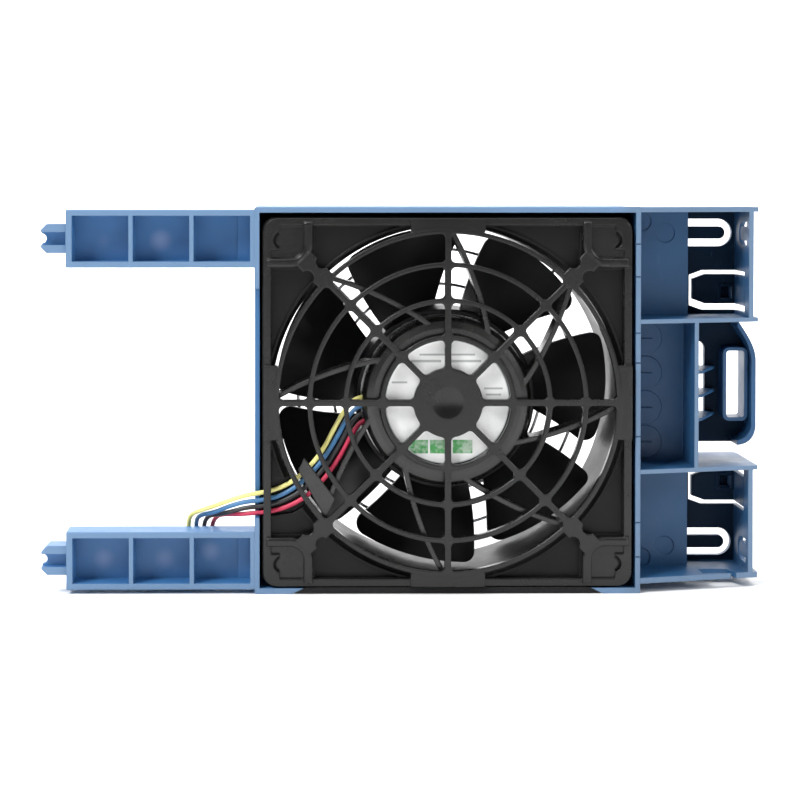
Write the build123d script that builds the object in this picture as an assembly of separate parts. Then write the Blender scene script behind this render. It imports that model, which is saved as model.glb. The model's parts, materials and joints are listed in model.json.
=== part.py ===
"""Server fan module: a 120 mm axial fan in a moulded carrier with arms, latch bays and a grip.

Millimetres. +X points to the grip, +Z up, +Y from the guarded front to the back.
The origin lies on the carrier's base, under the fan's axis, at half the carrier's depth.
"""
import math
import os

from build123d import *

# Fan frame
fan_size = 120.0
fan_depth = 38.0
fan_corner_radius = 4.5
fan_hole_inset = 7.5
fan_hole_diameter = 4.3
flange_thickness = 4.2
flange_bar = 3.0
flange_pad = 17.0
flange_recess = 1.4
bore_rim = 3.0
barrel_wall = 2.0
bore_chamfer = 1.2
wire_notch_depth = 3.1
wire_notch_places = [
    (-1.0, -37.7), (-1.0, -27.9), (8.0, -24.5), (15.6, -19.1), (21.0, -23.6), (17.4, -31.7),
    (10.0, -36.3)]

# Carrier frame around the fan
frame_depth = 42.0
side_wall = 1.6
side_gap = 0.9
top_wall = 1.8
top_gap = 1.4
bottom_wall = 1.8
bottom_gap = 0.3
fan_inset = 1.5
lip_width = 2.0
lip_gap = 0.2
lip_corner = 4.0
wall_cutback = 6.0
cutback_low_wall = 24.6
cutback_high_wall = 26.4
tick_offsets = [-50.3, -39.1, -11.2, 12.7, 22.4, 40.6, 51.2]
tick_width = 0.4
seal_length = 100.0
seal_depth = 6.0
seal_base = 0.2
seal_taper = 4.0
seal_gap = 0.02

# Arms with three pockets, and their locating pins
arm_length = 60.9
arm_depth = 10.0
arm_height = 18.8
arm_wall = 2.0
arm_floor = 1.5
arm_end_wall = 1.4
arm_divider = 1.4
upper_arm_inset = 0.8
lower_arm_base = 1.4
pocket_step = 4.2
pocket_step_rise = 1.2
pin_length = 8.2
pin_height = 9.4
pin_width = 8.0
pin_web = 2.6
pin_groove = 4.2
pin_notch = 1.6

# Right section: dividers, bays and grip
section_length = 40.5
front_recess = 9.0
section_depth = 29.0
back_wall = 2.0
divider_depth = 37.0
divider_thickness = 1.4
upper_divider_drop = 37.05
lower_divider_z = 39.4
section_top_gap = 0.1
section_top_wall = 1.6
section_bottom_wall = 1.8
section_base = 3.1
bay_width = 18.5
bay_wall_thickness = 1.4
bay_floor_depth = 20.0
panel_thickness = 2.0
right_wall_thickness = 1.6
right_overhang = 1.6
insert_radius = 5.62
insert_pitch = 11.63
insert_count = 4
insert_rise = 0.3
insert_mark = 4.5
insert_mark_width = 0.4
ejector_radius = 3.2
ejector_places = [(4.32, 3.9), (12.24, 0.05)]

# Spring fingers, side slots and release tabs of the latch bays
finger_height = 4.2
finger_slot = 2.55
finger_length = 13.8
finger_tip_gap = 2.4
finger_root_gap = 0.25
finger_offset = 25.45
side_slot_radius = 3.95
side_slot_width = 1.6
side_slot_depth = 17.0
side_slot_front = 11.5
tab_height = 10.0
tab_offset = 3.35
tab_near_slot = 2.1
tab_far_slot = 1.35
tab_side_slot = 1.0
tab_lead = 2.0
tab_chamfer_x = 4.4
tab_chamfer_z = 1.6
tab_hinge_depth = 14.0
tab_hinge_gap = 0.25
catch_width = 4.8
catch_height = 4.2
catch_reach = 4.0
catch_wall = 0.9
catch_offset = 1.6
catch_rim = 0.5
drain_length = 11.5
drain_start = 7.0
drain_width = 6.0

# Grip
grip_overreach = 1.8
grip_base_gap = 5.3
grip_thickness = 2.5
grip_low_corner = [(5.8, 0.0), (2.0, 1.6), (0.0, 6.4)]
grip_high_corner = [(0.0, 13.95), (1.2, 8.45), (3.6, 4.05), (6.2, 0.0)]
grip_rim = 1.5
grip_rim_depth = 18.0
grip_collar_depth = 21.0
grip_collar = 1.2
grip_window_width = 6.0
grip_window_inset = 1.3
grip_window_low_gap = 14.2
grip_window_high_gap = 10.75
grip_window_corner = 1.0
bay_window_inset = 13.4
bay_window_low_gap = 11.9
bay_window_high_gap = 7.85
bay_window_corner = 2.6
rib_count = 3
rib_pitch = 7.75
rib_drop = 0.7
rib_thickness = 0.9
rib_inset = 10.5
rib_start_drop = 3.0
rib_bevel = 2.0
rib_rise = 2.0

# Front guard
guard_frame_inset = 0.4
guard_bar = 2.4
guard_frame_thickness = 1.5
guard_plate = 16.0
guard_plate_thickness = 0.7
guard_rise = 3.1
guard_grid_thickness = 2.2
guard_ring_inset = 1.6
guard_ring_shares = [0.224, 0.493, 0.756, 1.0]
guard_ring_width = 1.55
guard_spoke_width = 2.0
guard_spoke_count = 8
guard_fillet = 1.5
guard_hub_radius = 11.2
guard_dimple_radius = 5.0
guard_dimple_depth = 0.9
guard_tab_length = 24.0
guard_tab_width = 4.6
guard_leg_drop = 0.2
guard_leg_width = 3.0
guard_leg_inset = 1.0
guard_leg_corner = 4.4
guard_leg_round = 0.9
guard_neck_width = 2.8
guard_neck_round = 2.2
guard_corner_width = 5.2
guard_corner_height = 10.4
guard_pin_clearance = 0.05
guard_pin_length = 5.0
guard_slot_shift = 1.0
guard_slot_radius = 2.2
guard_slot_width = 0.7
guard_slot_angle = 130.0

# Motor mount with its vanes
mount_radius = 27.5
mount_wall = 1.5
mount_plate = 2.0
mount_depth = 7.2
mount_inset = 0.4
mount_ring_width = 6.7
mount_ring_rise = 0.6
mount_ring_bevel = 1.4
mount_ring_bevel_drop = 0.5
mount_ring_shoulder = 3.4
mount_ring_edge = 1.3
mount_ring_edge_drop = 0.8
mount_ring_side_drop = 2.8
vane_count = 8
vane_thickness = 1.6
vane_depth = 8.0
vane_root_depth = 2.9
vane_twist = 34.0
vane_bow = 1.9
exit_angle_low = 174.0
exit_angle_high = 199.0
exit_height = 2.2
label_gap = 0.6
label_clearance = 0.1
label_thickness = 0.3
guide_rise = 0.3
guide_thickness = 0.8
guide_insets = [3.8, 7.1, 7.7, 8.9, 2.5, 2.5]
guide_angles = [204.6, 201.4, 203.7, 220.9, 224.0, 222.1]
board_boss_radius = 1.2
board_boss_pitch_radius = 16.0

# Rotor
blade_count = 7
blade_tip_gap = 1.2
blade_thickness = 1.8
blade_gap = 6.8
blade_sweep = 8.5
blade_phase = 108.0
blade_camber = 3.2
blade_front_gap = 1.6
blade_back_gap = 3.0
blade_tip_fillet = 4.0
hub_radius = 29.5
hub_wall = 1.5
hub_front_gap = 1.0
hub_back_gap = 1.7
hub_plate = 2.2
yoke_wall = 1.2
magnet_wall = 2.2
magnet_length = 15.5
air_gap = 0.5
shaft_radius = 2.0
bushing_radius = 5.0
bushing_length = 4.8

# Bearings, stator and board
bearing_outer_radius = 5.5
bearing_width = 4.0
bearing_race = 1.15
ball_count = 7
ball_radius = 0.72
ball_gap = 0.05
rear_bearing_y = 3.4
tube_wall = 1.5
tube_length = 25.0
core_length = 12.0
core_centre_y = -2.0
core_teeth = 4
core_ring = 3.6
tooth_width = 6.0
shoe_thickness = 3.0
shoe_angle = 72.0
insulator_thickness = 1.0
coil_width = 13.0
coil_end = 1.6
coil_gap = 0.1
board_edge_gap = 0.6
board_hole_radius = 8.2
board_thickness = 1.4
board_front_gap = 2.75
component_angles = [20, 150, 225, 270, 320, 80]
component_insets = [8.9, 7.4, 2.8, 8.4, 5.4, 5.4]
component_sizes = [
    (6.0, 5.0, 1.6), (4.0, 3.0, 1.2), (3.0, 1.6, 1.8), (5.0, 5.0, 1.8), (2.0, 1.2, 0.7),
    (2.0, 1.2, 0.7)]
ring_thickness = 0.5
ring_radius = 3.1
groove_depth = 0.4
washer_thickness = 0.35

# Rear guard of welded wire, and its screws
wire_guard_diameter = 1.2
rear_ring_count = 3
rear_ring_inset = 8.7
rear_ring_pitch = 12.15
weld_overlap = 0.3
eyelet_radius = 2.9
screw_head_radius = 4.0
screw_head_height = 1.2
screw_head_bevel = 0.5
screw_slot_depth = 0.7
screw_slot_length = 3.6
screw_slot_width = 0.8
screw_length = 9.0
screw_clearance = 0.02

# Lead wires and connector
lead_diameter = 1.5
connector_length = 12.0
connector_height = 5.5
connector_pitch = 2.54
connector_wall = 1.4
connector_x = -86.0
connector_y = 14.5
terminal_size = 1.6
terminal_length = 9.0
terminal_gap = 0.1

# Sizes worked out from the values above
front_y = -frame_depth / 2
back_y = frame_depth / 2
half_width = fan_size / 2 + side_gap + side_wall
frame_height = bottom_wall + bottom_gap + fan_size + top_gap + top_wall
axis_z = bottom_wall + bottom_gap + fan_size / 2
fan_front = front_y + fan_inset
fan_back = fan_front + fan_depth
bore_radius = fan_size / 2 - bore_rim
blade_tip_radius = bore_radius - blade_tip_gap
hole_offset = fan_size / 2 - fan_hole_inset
cutback_bottom = cutback_low_wall
cutback_top = frame_height - cutback_high_wall
upper_arm_base = frame_height - arm_height - upper_arm_inset
section_end = half_width + section_length
right_wall_out = section_end - right_overhang
right_wall_in = right_wall_out - right_wall_thickness
section_back = front_y + section_depth
wall_front = section_back - back_wall
bay_wall_x = half_width + bay_width
step_x = bay_wall_x + bay_wall_thickness
section_top = frame_height - section_top_gap
upper_divider_z = section_top - upper_divider_drop
upper_divider_top = upper_divider_z + divider_thickness / 2
lower_divider_low = lower_divider_z - divider_thickness / 2
finger_bay_low = lower_divider_z + divider_thickness / 2
finger_bay_high = upper_divider_z - divider_thickness / 2
finger_bay_middle = (finger_bay_low + finger_bay_high) / 2
grip_right = section_end + grip_overreach
guard_half = fan_size / 2 - guard_frame_inset
guard_ring_outer = bore_radius - guard_ring_inset
mount_front = fan_front + mount_inset
mount_back = mount_front + mount_depth
plate_back = mount_front + mount_plate
board_front = plate_back + board_front_gap
board_back = board_front + board_thickness
mount_ring_inner = mount_radius - mount_ring_width
vane_inner_radius = mount_radius - vane_root_depth
label_radius = mount_ring_inner - label_gap
board_radius = mount_radius - mount_wall - board_edge_gap
hub_front = mount_back + hub_front_gap
hub_back = fan_back - hub_back_gap
yoke_outer = hub_radius - hub_wall
magnet_outer = yoke_outer - yoke_wall
magnet_inner = magnet_outer - magnet_wall
core_radius = magnet_inner - air_gap
yoke_back = hub_back - hub_plate
yoke_plate = yoke_back - yoke_wall
front_bearing_y = plate_back + 1.6
core_front = core_centre_y - core_length / 2
core_back = core_centre_y + core_length / 2
tube_outer = bearing_outer_radius + tube_wall
lead_radius = lead_diameter / 2

# Lead wires from the motor to the connector, as points chosen along each lead
lead_routes = {
    "wire_yellow": [
        (-24.0, -15.4, 63.6), (-28.6, -15.4, 63.4), (-32.3, -15.8, 60.5), (-35.9, -16.4, 54.6),
        (-40.6, -17.0, 45.4), (-46.7, -17.5, 38.6), (-52.1, -17.8, 34.8), (-58.1, -17.8, 32.7),
        (-64.6, -17.6, 31.7), (-69.9, -17.0, 30.1), (-75.2, -16.0, 27.9), (-80.4, -14.0, 25.9),
        (-84.0, -10.2, 23.8), (-84.8, -7.8, 19.2), (-84.3, -7.3, 12.6), (-85.8, -7.4, 6.2),
        (-90.4, -7.7, 1.7), (-97.0, -7.9, 0.8), (-105.6, -7.6, 0.8), (-113.6, -7.8, 0.8),
        (-121.0, -0.2, 0.8), (-121.4, 10.5, 0.8), (-113.9, 18.2, 0.8), (-105.5, 18.4, 0.8),
        (-98.0, 18.1, 0.8), (-91.6, 18.31, 2.75), (-86.0, 18.31, 2.75),
    ],
    "wire_blue": [
        (-23.9, -15.4, 61.2), (-28.4, -15.4, 60.6), (-32.2, -15.8, 57.0), (-36.5, -16.5, 48.6),
        (-41.8, -17.2, 40.9), (-47.9, -17.6, 35.0), (-53.8, -17.8, 31.4), (-60.0, -17.8, 29.9),
        (-65.6, -17.5, 29.4), (-70.7, -16.4, 27.8), (-75.6, -15.0, 25.5), (-79.8, -12.0, 24.2),
        (-82.0, -8.0, 22.2), (-82.2, -5.8, 17.6), (-81.7, -5.3, 11.5), (-83.3, -5.5, 5.6),
        (-87.8, -5.8, 1.5), (-94.0, -6.0, 0.8), (-102.5, -5.6, 0.8), (-110.8, -5.9, 0.8),
        (-117.2, 0.4, 0.8), (-117.5, 9.4, 0.8), (-111.2, 15.8, 0.8), (-104.2, 15.9, 0.8),
        (-97.6, 15.6, 0.8), (-91.4, 15.77, 2.75), (-86.0, 15.77, 2.75),
    ],
    "wire_black": [
        (-23.8, -15.4, 58.9), (-28.2, -15.4, 58.0), (-31.3, -15.8, 54.4), (-35.5, -16.5, 46.5),
        (-40.6, -17.2, 39.2), (-46.4, -17.6, 33.5), (-52.6, -17.8, 29.8), (-59.4, -17.8, 28.0),
        (-65.7, -17.4, 27.4), (-70.5, -16.0, 25.8), (-74.5, -13.0, 24.4), (-77.8, -9.6, 23.4),
        (-79.6, -6.0, 20.4), (-79.6, -3.9, 15.4), (-79.2, -3.3, 9.8), (-80.9, -3.5, 4.5),
        (-85.4, -3.8, 1.2), (-91.5, -4.0, 0.8), (-99.8, -3.6, 0.8), (-107.8, -3.9, 0.8),
        (-112.8, 1.2, 0.8), (-113.2, 8.2, 0.8), (-108.2, 13.4, 0.8), (-102.8, 13.5, 0.8),
        (-97.2, 13.1, 0.8), (-91.2, 13.23, 2.75), (-86.0, 13.23, 2.75),
    ],
    "wire_red": [
        (-23.5, -15.4, 56.8), (-27.6, -15.4, 55.7), (-30.6, -15.8, 51.8), (-34.3, -16.5, 44.5),
        (-38.9, -17.2, 37.9), (-44.4, -17.6, 32.0), (-50.6, -17.8, 28.2), (-57.4, -17.8, 26.1),
        (-63.5, -17.4, 25.6), (-68.2, -15.7, 24.9), (-71.8, -12.3, 24.4), (-75.2, -8.8, 23.2),
        (-77.0, -4.8, 19.6), (-77.1, -2.0, 14.4), (-76.8, -1.4, 8.8), (-78.8, -1.5, 3.8),
        (-83.4, -1.8, 1.0), (-89.2, -2.1, 0.8), (-97.0, -1.6, 0.8), (-104.2, -1.9, 0.8),
        (-108.1, 2.0, 0.8), (-108.4, 7.1, 0.8), (-104.6, 11.0, 0.8), (-97.4, 10.5, 0.8),
        (-91.0, 10.69, 2.75), (-86.0, 10.69, 2.75),
    ],
}


def block(x0, x1, y0, y1, z0, z1):
    """Box between two opposite corners."""
    centre = Pos((x0 + x1) / 2, (y0 + y1) / 2, (z0 + z1) / 2)
    return centre * Box(x1 - x0, y1 - y0, z1 - z0)


def rod(radius, y0, y1, x=0.0, z=axis_z):
    """Cylinder along Y."""
    return Pos(x, (y0 + y1) / 2, z) * Rot(90, 0, 0) * Cylinder(radius, y1 - y0)


def tube(outer, inner, y0, y1, x=0.0, z=axis_z):
    """Hollow cylinder along Y."""
    return rod(outer, y0, y1, x, z) - rod(inner, y0 - 1, y1 + 1, x, z)


def plate(sketch, y0, y1):
    """Solid with an outline in X and Z, between two depths."""
    plane = Plane(origin=(0, y1, 0), x_dir=(1, 0, 0), z_dir=(0, -1, 0))
    return extrude(plane * sketch, amount=y1 - y0)


def slab(points, z0, z1):
    """Solid with an outline in X and Y, between two heights."""
    outline = Polyline(*points, close=True)
    return extrude(Plane.XY.offset(z0) * make_face(outline), amount=z1 - z0)


def turned(points):
    """Solid of revolution about the fan's axis, from points of radius and Y."""
    profile = make_face(Polyline(*points, close=True))
    return Pos(0, 0, axis_z) * revolve(profile, Axis.Y)


def polar(radius, degrees):
    """X and Z offsets of a point about the fan's axis."""
    angle = math.radians(degrees)
    return radius * math.cos(angle), radius * math.sin(angle)


def about_axis(shape, degrees):
    """The shape turned about the fan's axis, counterclockwise seen from the front."""
    return Pos(0, 0, axis_z) * Rot(0, -degrees, 0) * Pos(0, 0, -axis_z) * shape


def front_limit(x):
    """Y of the right section's slanted front at a place along X."""
    return front_y + front_recess * (x - half_width) / section_length


def front_waste():
    """What the slanted front of the right section cuts away."""
    far = section_end + 10
    return slab(
        [(half_width, front_y - 5), (half_width, front_y), (far, front_limit(far)),
         (far, front_y - 5)], -5, frame_height + 5)


def carrier_frame():
    """Rectangular frame that holds the fan, with a lip behind and a low left wall."""
    body = block(-half_width, half_width, front_y, back_y, 0, frame_height)
    inner = half_width - side_wall
    body -= block(-inner, inner, front_y - 1, fan_back + lip_gap, bottom_wall,
                  frame_height - top_wall)
    low, high = bottom_wall + lip_width, frame_height - top_wall - lip_width
    opening = RectangleRounded(2 * (inner - lip_width), high - low, lip_corner)
    body -= plate(Pos(0, (low + high) / 2) * opening, front_y - 1, back_y + 1)
    body -= block(-half_width - 1, -inner + 0.1, front_y - 1, front_y + wall_cutback,
                  cutback_bottom, cutback_top)
    for offset in tick_offsets:
        height = axis_z + offset
        body -= block(inner - 0.1, half_width + 1, front_y - 1, front_y + tick_width,
                      height - tick_width / 2, height + tick_width / 2)
    body -= seal_shape(0.0, -1.0, bottom_wall + 1.0, front_y - 1.0)
    outer_edges = body.edges().filter_by(Axis.Y).filter_by(
        lambda edge: abs(abs(edge.center().X) - half_width) < 0.01
        and (edge.center().Z < 0.01 or edge.center().Z > frame_height - 0.01))
    return fillet(outer_edges, side_wall / 3)


def seal_shape(gap, low, high, start):
    """Bar with tapered ends, set into the base's front edge."""
    top = bottom_wall + bottom_gap

    def half(z):
        return seal_length / 2 - gap - seal_taper * (z - seal_base) / (top - seal_base)

    outline = make_face(Polyline(
        (-half(low), low), (half(low), low), (half(high), high), (-half(high), high),
        close=True))
    return plate(outline, start, front_y + seal_depth - gap)


def bottom_seal():
    """Foam strip under the fan's front edge."""
    return seal_shape(seal_gap, seal_base, bottom_wall + bottom_gap, front_y)


def arm(base):
    """Open-fronted beam with three pockets, from the frame's left wall."""
    left = -half_width - arm_length
    right = -half_width
    body = block(left, right, front_y, front_y + arm_depth, base, base + arm_height)
    inner_left = left + arm_wall
    inner_right = right - arm_end_wall
    pocket = (inner_right - inner_left - 2 * arm_divider) / 3
    for index in range(3):
        start = inner_left + index * (pocket + arm_divider)
        body -= block(start, start + pocket, front_y - 1, front_y + arm_depth - arm_floor,
                      base + arm_wall, base + arm_height - arm_wall)
    rise = front_y + arm_depth - arm_floor
    body += block(inner_right - pocket_step, inner_right, rise - pocket_step_rise, rise + 0.1,
                  base + arm_wall, base + arm_height - arm_wall)
    long_edges = body.edges().filter_by(Axis.X).filter_by(
        lambda edge: edge.length > arm_length - 1)
    return fillet(long_edges, arm_wall / 4)


def locating_pin(base):
    """H-section pin at the arm's left end, chamfered and notched at its tip."""
    root = -half_width - arm_length
    tip = root - pin_length
    middle_z = base + arm_height / 2
    middle_y = front_y + arm_depth / 2
    half = pin_height / 2
    bevel = pin_height / 5
    outline = make_face(Polyline(
        (root, middle_z - half), (root, middle_z + half), (tip + bevel, middle_z + half),
        (tip, middle_z + half - bevel), (tip, middle_z - half + bevel),
        (tip + bevel, middle_z - half), close=True))
    body = plate(outline, middle_y - pin_width / 2, middle_y + pin_width / 2)
    for side in (-1, 1):
        near = middle_y + side * pin_web / 2
        far = middle_y + side * (pin_width / 2 + 1)
        body -= block(tip - 1, root, min(near, far), max(near, far),
                      middle_z - pin_groove / 2, middle_z + pin_groove / 2)
    body -= plate(Pos(tip, middle_z) * Circle(pin_notch), middle_y - pin_width,
                  middle_y + pin_width)
    return body


def stadium(x0, x1, z, half):
    """Flat shape with a square start at x0 and a round end at x1."""
    shape = Pos((x0 + x1 - half) / 2, z) * Rectangle(x1 - half - x0, 2 * half)
    return shape + Pos(x1 - half, z) * Circle(half)


def bay_values(upper):
    """Heights of an upper or a lower latch bay, and the sign that points to its far wall."""
    if upper:
        return upper_divider_top, section_top - section_top_wall, 1
    return lower_divider_low, section_base + section_bottom_wall, -1


def latch_bay(upper):
    """Open-fronted box with a shallow panel, a back wall with slots and a right wall."""
    near, far, sign = bay_values(upper)
    low, high = min(near, far), max(near, far)
    body = block(half_width, step_x, front_y + bay_floor_depth,
                 front_y + bay_floor_depth + panel_thickness, low, high)
    body += block(step_x - back_wall, step_x, front_y + bay_floor_depth, section_back, low, high)
    body += block(step_x - 0.1, right_wall_out, wall_front, section_back, low, high)
    body += block(right_wall_in, right_wall_out, front_y, section_back, low, high)
    if upper:
        body += end_wall(far, far + section_top_wall)
    else:
        body += end_wall(far - section_bottom_wall, far)
        body -= drain_slot(far)
    finger_z = near + sign * (finger_offset + tab_lead)
    half = finger_height / 2
    tip = step_x + finger_root_gap + finger_length
    opening = stadium(step_x, tip + finger_tip_gap, finger_z, half + finger_slot)
    body -= plate(opening, wall_front - 1, section_back + 1)
    body -= side_slot(finger_z)
    body -= tab_opening(near, sign)
    for across, along in ejector_places:
        mark = Pos(half_width + across, finger_z + sign * along)
        body -= plate(mark * Circle(ejector_radius), front_y + bay_floor_depth - 1,
                      front_y + bay_floor_depth + insert_rise)
    return body - front_waste()


def end_wall(z0, z1):
    """Top or bottom wall of the right section, with a rounded right end."""
    body = block(half_width, section_end, front_y, section_back, z0, z1)
    return body - corner_waste(section_back, z0, z1)


def corner_waste(back, z0, z1):
    """What rounds the far back corner of a horizontal wall."""
    radius = right_overhang
    corner = block(section_end - radius, section_end + 1, back - radius, back + 1, z0 - 1, z1 + 1)
    centre = Pos(section_end - radius, back - radius, (z0 + z1) / 2)
    return corner - centre * Cylinder(radius, z1 - z0 + 4)


def drain_slot(z):
    """Slot through the bottom wall, with a slanted right end."""
    start = step_x + back_wall
    y0 = front_y + drain_start
    return slab([(start, y0), (start + drain_length, y0),
                 (start + drain_length - drain_width / 3, y0 + drain_width),
                 (start, y0 + drain_width)], z - section_bottom_wall - 1, z + 1)


def side_slot(z):
    """C-shaped slot in the right wall that frees a short tongue."""
    x0, x1 = right_wall_in - 1, right_wall_out + 1
    outer, inner = side_slot_radius, side_slot_radius - side_slot_width
    centre_y = front_y + side_slot_depth
    end_y = front_y + side_slot_front

    def leaf(radius, end):
        disc = Pos((x0 + x1) / 2, centre_y, z) * Rot(0, 90, 0) * Cylinder(radius, x1 - x0)
        return disc + block(x0, x1, end, centre_y, z - radius, z + radius)

    return leaf(outer, end_y) - leaf(inner, end_y - 1)


def tab_opening(near, sign):
    """Opening around a release tab, through the back wall and the right wall."""
    z_near = near + sign * (tab_offset - tab_near_slot)
    z_far = near + sign * (tab_offset + tab_height + tab_far_slot)
    left = step_x + tab_lead
    outline = tab_outline(left, right_wall_out + 1, z_near, z_far, sign)
    opening = plate(outline, wall_front - 1, section_back + 1)
    opening += block(right_wall_in - 0.1, right_wall_out + 1, front_y + tab_hinge_depth,
                     section_back + 1, min(z_near, z_far), max(z_near, z_far))
    return opening


def tab_outline(left, right, z_near, z_far, sign):
    """Outline of a tab or of its opening, with both left corners cut off."""
    return make_face(Polyline(
        (left, z_near + sign * tab_chamfer_z), (left + tab_chamfer_x, z_near), (right, z_near),
        (right, z_far), (left + tab_chamfer_x, z_far), (left, z_far - sign * tab_chamfer_z),
        close=True))


def release_tab(upper):
    """Flexing tab that wraps the corner of the bay, with a hollow catch behind it."""
    near, _, sign = bay_values(upper)
    z_near = near + sign * tab_offset
    z_far = near + sign * (tab_offset + tab_height)
    left = step_x + tab_lead + tab_side_slot
    body = plate(tab_outline(left, right_wall_out, z_near, z_far, sign), wall_front,
                 section_back)
    body += block(right_wall_in, right_wall_out, front_y + tab_hinge_depth + tab_hinge_gap,
                  section_back, min(z_near, z_far), max(z_near, z_far))
    z0 = near + sign * (tab_offset + catch_offset)
    z1 = z0 + sign * catch_height
    low, high = min(z0, z1), max(z0, z1)
    x0 = right_wall_in - catch_width
    reach = section_back + catch_reach
    body += slab([(x0 - catch_wall, section_back - 0.1), (right_wall_in, section_back - 0.1),
                  (right_wall_in, reach), (x0 + catch_wall, reach)],
                 low - catch_wall, high + catch_wall)
    body += block(x0 - catch_wall, right_wall_in, wall_front - catch_rim, wall_front + 0.1,
                  low - catch_wall, high + catch_wall)
    body -= block(x0, right_wall_in - catch_wall, wall_front - 1, reach - catch_wall, low, high)
    return body


def spring_finger(upper):
    """Tongue in the bay's back wall, free on three sides."""
    near, _, sign = bay_values(upper)
    z = near + sign * (finger_offset + tab_lead)
    start = step_x + finger_root_gap
    body = plate(stadium(start, start + finger_length, z, finger_height / 2), wall_front,
                 section_back)
    ridge = Pos(start + finger_length - finger_height / 2, section_back, z)
    return body + ridge * Sphere(finger_height / 4)


def finger_bay():
    """Two dividers, the wall between them and the floor with its round mould inserts."""
    body = None
    for z in (upper_divider_z, lower_divider_z):
        low, high = z - divider_thickness / 2, z + divider_thickness / 2
        wall = block(half_width, section_end, front_y, front_y + divider_depth, low, high)
        wall -= corner_waste(front_y + divider_depth, low, high)
        body = wall if body is None else body + wall
    low, high = finger_bay_low, finger_bay_high
    floor = front_y + bay_floor_depth
    body += block(half_width, step_x, floor, floor + panel_thickness, low - 0.1, high + 0.1)
    body += block(bay_wall_x, step_x, front_y, section_back, low - 0.1, high + 0.1)
    for index in range(insert_count):
        z = finger_bay_middle + (index - (insert_count - 1) / 2) * insert_pitch
        x = half_width + insert_radius
        body += rod(insert_radius - 0.1, floor - insert_rise, floor + 0.1, x, z)
        body -= block(x - insert_mark / 2, x + insert_mark / 2, floor - insert_rise - 1, floor,
                      z - insert_mark_width / 2, z + insert_mark_width / 2)
    return body - front_waste()


def grip_outline(inset):
    """D-shaped outline of the grip, drawn in by an inset."""
    low = finger_bay_low + grip_base_gap
    right = grip_right - inset
    fade = grip_low_corner[-1][1]
    lower = [(right - back, low + rise + inset * (1 - rise / fade))
             for back, rise in grip_low_corner]
    upper = [(right - back, finger_bay_high - drop) for back, drop in grip_high_corner]
    inner = Polyline(upper[-1], (step_x, finger_bay_high), (step_x, low + inset), lower[0])
    return make_face(inner + Spline(*lower) + Line(lower[-1], upper[0]) + Spline(*upper))


def grip_hole(x0, x1, low_gap, high_gap, margin, corner):
    """Rounded rectangle in the grip, placed from the finger bay's two ends."""
    z0, z1 = finger_bay_low + low_gap - margin, finger_bay_high - high_gap + margin
    width, height = x1 - x0 + 2 * margin, z1 - z0
    radius = min(corner + margin, 0.45 * min(width, height))
    shape = RectangleRounded(width, height, radius)
    return Pos((x0 + x1) / 2, (z0 + z1) / 2) * shape


def grip_window_outline(margin):
    """Outline of the grip's narrow window, widened by a margin."""
    right = section_end - grip_window_inset
    return grip_hole(right - grip_window_width, right, grip_window_low_gap,
                     grip_window_high_gap, margin, grip_window_corner)


def handle_grip():
    """Grip plate with a raised outer rim, a collar around its window and three ribs."""
    face_y = section_back - grip_thickness
    rim_y = front_y + grip_rim_depth
    body = plate(grip_outline(0.0), face_y, section_back)
    rim = plate(grip_outline(0.0), rim_y, face_y + 0.1)
    rim -= plate(grip_outline(grip_rim), rim_y - 1, face_y + 1)
    rim_start = grip_right - grip_high_corner[-1][0]
    rim -= block(step_x - 1, rim_start, front_y, face_y, 0, frame_height)
    body += rim
    body += plate(grip_window_outline(grip_collar), front_y + grip_collar_depth, face_y + 0.1)
    body -= plate(grip_window_outline(0.0), front_y, section_back + 1)
    opening = grip_hole(step_x - 2 * bay_window_corner, section_end - bay_window_inset,
                        bay_window_low_gap, bay_window_high_gap, 0.0, bay_window_corner)
    body -= plate(opening, front_y, section_back + 1)
    reach = section_end - rib_inset
    rib_y = front_limit(step_x) + rib_start_drop
    for index in range(rib_count):
        z = finger_bay_middle - rib_drop + (index - (rib_count - 1) / 2) * rib_pitch
        body += slab([(step_x, rib_y), (step_x + rib_bevel, rib_y + rib_bevel / 2),
                      (reach, face_y - rib_rise), (reach, face_y + 0.1),
                      (step_x, face_y + 0.1)],
                     z - rib_thickness / 2, z + rib_thickness / 2)
    return body


def fan_square(size, radius):
    """Square with rounded corners, centred on the fan's axis."""
    return Pos(0, axis_z) * RectangleRounded(size, size, radius)


def hole_places():
    """Centres of the fan's four mounting holes."""
    return [(sx * hole_offset, axis_z + sz * hole_offset) for sx in (-1, 1) for sz in (-1, 1)]


def flange_pockets():
    """Shallow recesses between the flange's edge bars, its corner pads and the barrel."""
    inner = fan_size - 2 * flange_bar
    pockets = Pos(0, axis_z) * Rectangle(inner, inner)
    pockets -= Pos(0, axis_z) * Circle(bore_radius + barrel_wall)
    shift = (fan_size - flange_pad) / 2
    for sx in (-1, 1):
        for sz in (-1, 1):
            pockets -= Pos(sx * shift, axis_z + sz * shift) * Rectangle(flange_pad, flange_pad)
    return pockets


def flange(y0, y1, recess_y0):
    """Square flange with shallow recesses in one face."""
    body = plate(fan_square(fan_size, fan_corner_radius), y0, y1)
    return body - plate(flange_pockets(), recess_y0, recess_y0 + flange_recess + 1)


def wire_notch():
    """Channel across the front flange and the barrel's end for the lead wires."""
    outline = make_face(Polyline(
        *[(across - fan_size / 2, axis_z + rise) for across, rise in wire_notch_places],
        close=True))
    return plate(outline, fan_front - 1, fan_front + wire_notch_depth)


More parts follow.
